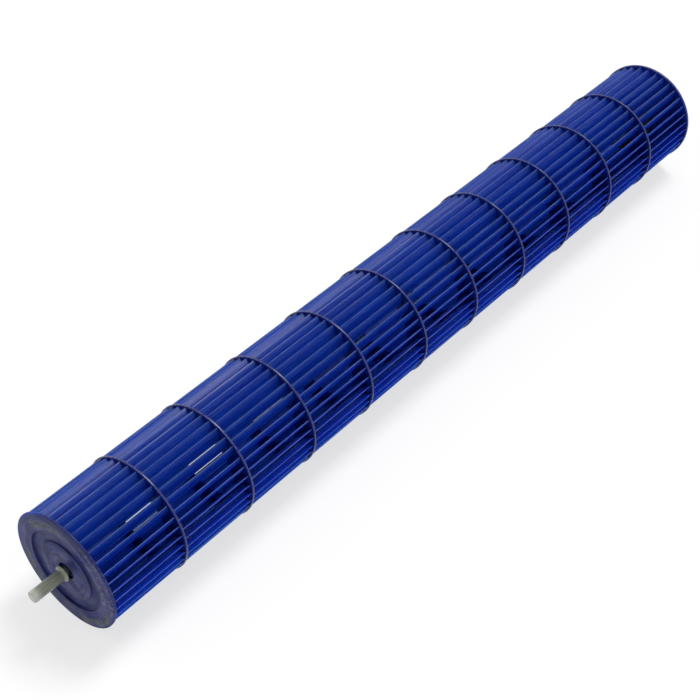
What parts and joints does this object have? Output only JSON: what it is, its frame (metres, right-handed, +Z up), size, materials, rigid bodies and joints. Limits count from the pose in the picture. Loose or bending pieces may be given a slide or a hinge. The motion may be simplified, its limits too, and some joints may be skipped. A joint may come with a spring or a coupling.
{
  "type": "cross-flow blower wheel",
  "caption": "Long cross-flow blower wheel: staggered sections of forward-curved blades, a bearing end plate with a capped stub shaft, and a rubber-mounted motor hub.",
  "frame": {"origin": "on the wheel's axis, where the straight wall of the motor bore begins, just inside its mouth", "axes": "+Y along the wheel's axis, out of the motor end; +Z up and +X right seen from the shaft end"},
  "size_m": [0.098, 0.7861, 0.098],
  "materials": {
    "blue_plastic": "moulded translucent cobalt blue styrene plastic, satin gloss",
    "smoky_plastic": "moulded translucent smoky blue-grey styrene plastic with flow marks",
    "shaft_steel": "ground steel pin",
    "clear_vinyl": "clear greenish-grey vinyl, dipped",
    "black_rubber": "moulded black rubber",
    "hub_aluminium": "turned aluminium",
    "screw_steel": "black oxide steel"
  },
  "bodies": {
    "wheel": {"bearing_end_plate": "smoky_plastic", "stub_shaft": "shaft_steel", "blade_section_01": "blue_plastic", "blade_section_02": "blue_plastic", "blade_section_03": "blue_plastic", "blade_section_04": "blue_plastic", "blade_section_05": "blue_plastic", "blade_section_06": "blue_plastic", "blade_section_07": "blue_plastic", "blade_section_08": "blue_plastic", "blade_section_09": "blue_plastic", "blade_section_10": "blue_plastic", "motor_end_section": "blue_plastic", "rubber_boss": "black_rubber", "hub_core": "hub_aluminium", "set_screw": "screw_steel"},
    "cap": {"shaft_cap": "clear_vinyl"}
  },
  "joints": [
    {"name": "cap_slide", "type": "slide", "parent": "wheel", "child": "cap", "axis": [0, -1, 0], "range_m": [-0.003, 0.035]}
  ]
}
